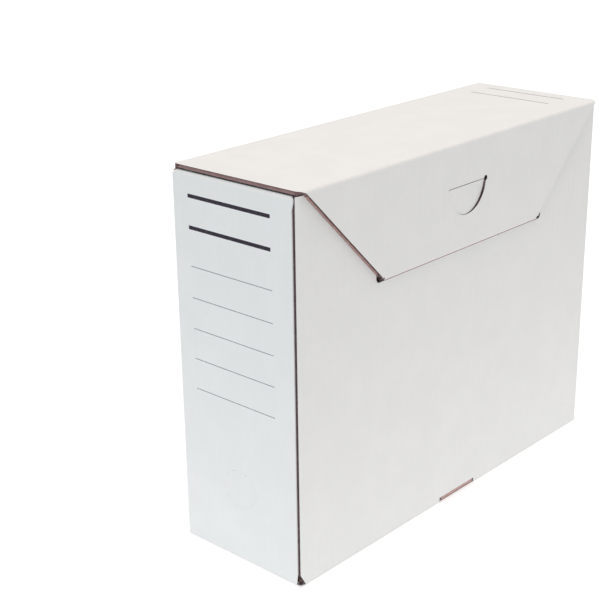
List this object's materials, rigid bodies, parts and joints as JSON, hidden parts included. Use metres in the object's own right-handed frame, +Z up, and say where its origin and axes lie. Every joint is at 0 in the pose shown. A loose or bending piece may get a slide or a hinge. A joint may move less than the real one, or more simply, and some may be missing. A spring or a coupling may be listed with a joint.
{
  "type": "archive box",
  "caption": "White corrugated board archive box lying on its long side, with a hinged lid, tuck-in flap and thumb tab.",
  "frame": {"origin": "under the middle of the whole box, closing flap included, on the surface it stands on", "axes": "+X along the box from the spine to the rear end, +Y from the closing flap to the back wall, +Z up"},
  "size_m": [0.33, 0.1094, 0.262],
  "materials": {
    "outer_board": "matt white liner, brown cut edges",
    "lid_board": "matt white liner, brown cut edges"
  },
  "bodies": {
    "carcass": {"back_wall": "outer_board", "spine_wall": "outer_board", "rear_end_wall": "outer_board", "front_wall": "outer_board", "glue_flap": "outer_board", "bottom_panel": "outer_board", "front_bottom_flap": "outer_board", "spine_bottom_flap": "outer_board", "rear_bottom_flap": "outer_board"},
    "lid": {"lid_panel": "lid_board"},
    "flap": {"closure_flap": "lid_board"},
    "tongue": {"tuck_tongue": "lid_board"},
    "tab": {"thumb_tab": "lid_board"},
    "spine_dust": {"spine_dust_flap": "outer_board"},
    "rear_dust": {"rear_dust_flap": "outer_board"},
    "finger_disc": {"finger_disc": "outer_board"}
  },
  "joints": [
    {"name": "lid_crease", "type": "hinge", "parent": "carcass", "child": "lid", "pos_m": [0, 0.05315, 0.2605], "axis": [-1, 0, 0], "range_deg": [0, 135]},
    {"name": "flap_crease", "type": "hinge", "parent": "lid", "child": "flap", "pos_m": [0, -0.05315, 0.2605], "axis": [-1, 0, 0], "range_deg": [0, 135]},
    {"name": "tongue_crease", "type": "hinge", "parent": "flap", "child": "tongue", "pos_m": [0, -0.05165, 0.19], "axis": [1, 0, 0], "range_deg": [0, 80]},
    {"name": "tab_crease", "type": "hinge", "parent": "flap", "child": "tab", "pos_m": [0, -0.05165, 0.2325], "axis": [1, 0, 0], "range_deg": [-2, 55]},
    {"name": "spine_dust_crease", "type": "hinge", "parent": "carcass", "child": "spine_dust", "pos_m": [-0.162, 0, 0.2557], "axis": [0, 1, 0], "range_deg": [0, 88]},
    {"name": "rear_dust_crease", "type": "hinge", "parent": "carcass", "child": "rear_dust", "pos_m": [0.162, 0, 0.2557], "axis": [0, -1, 0], "range_deg": [0, 88]},
    {"name": "finger_disc_crease", "type": "hinge", "parent": "carcass", "child": "finger_disc", "pos_m": [-0.162, 0.00165, 0.06397], "axis": [0, -1, 0], "range_deg": [0, 75]}
  ]
}
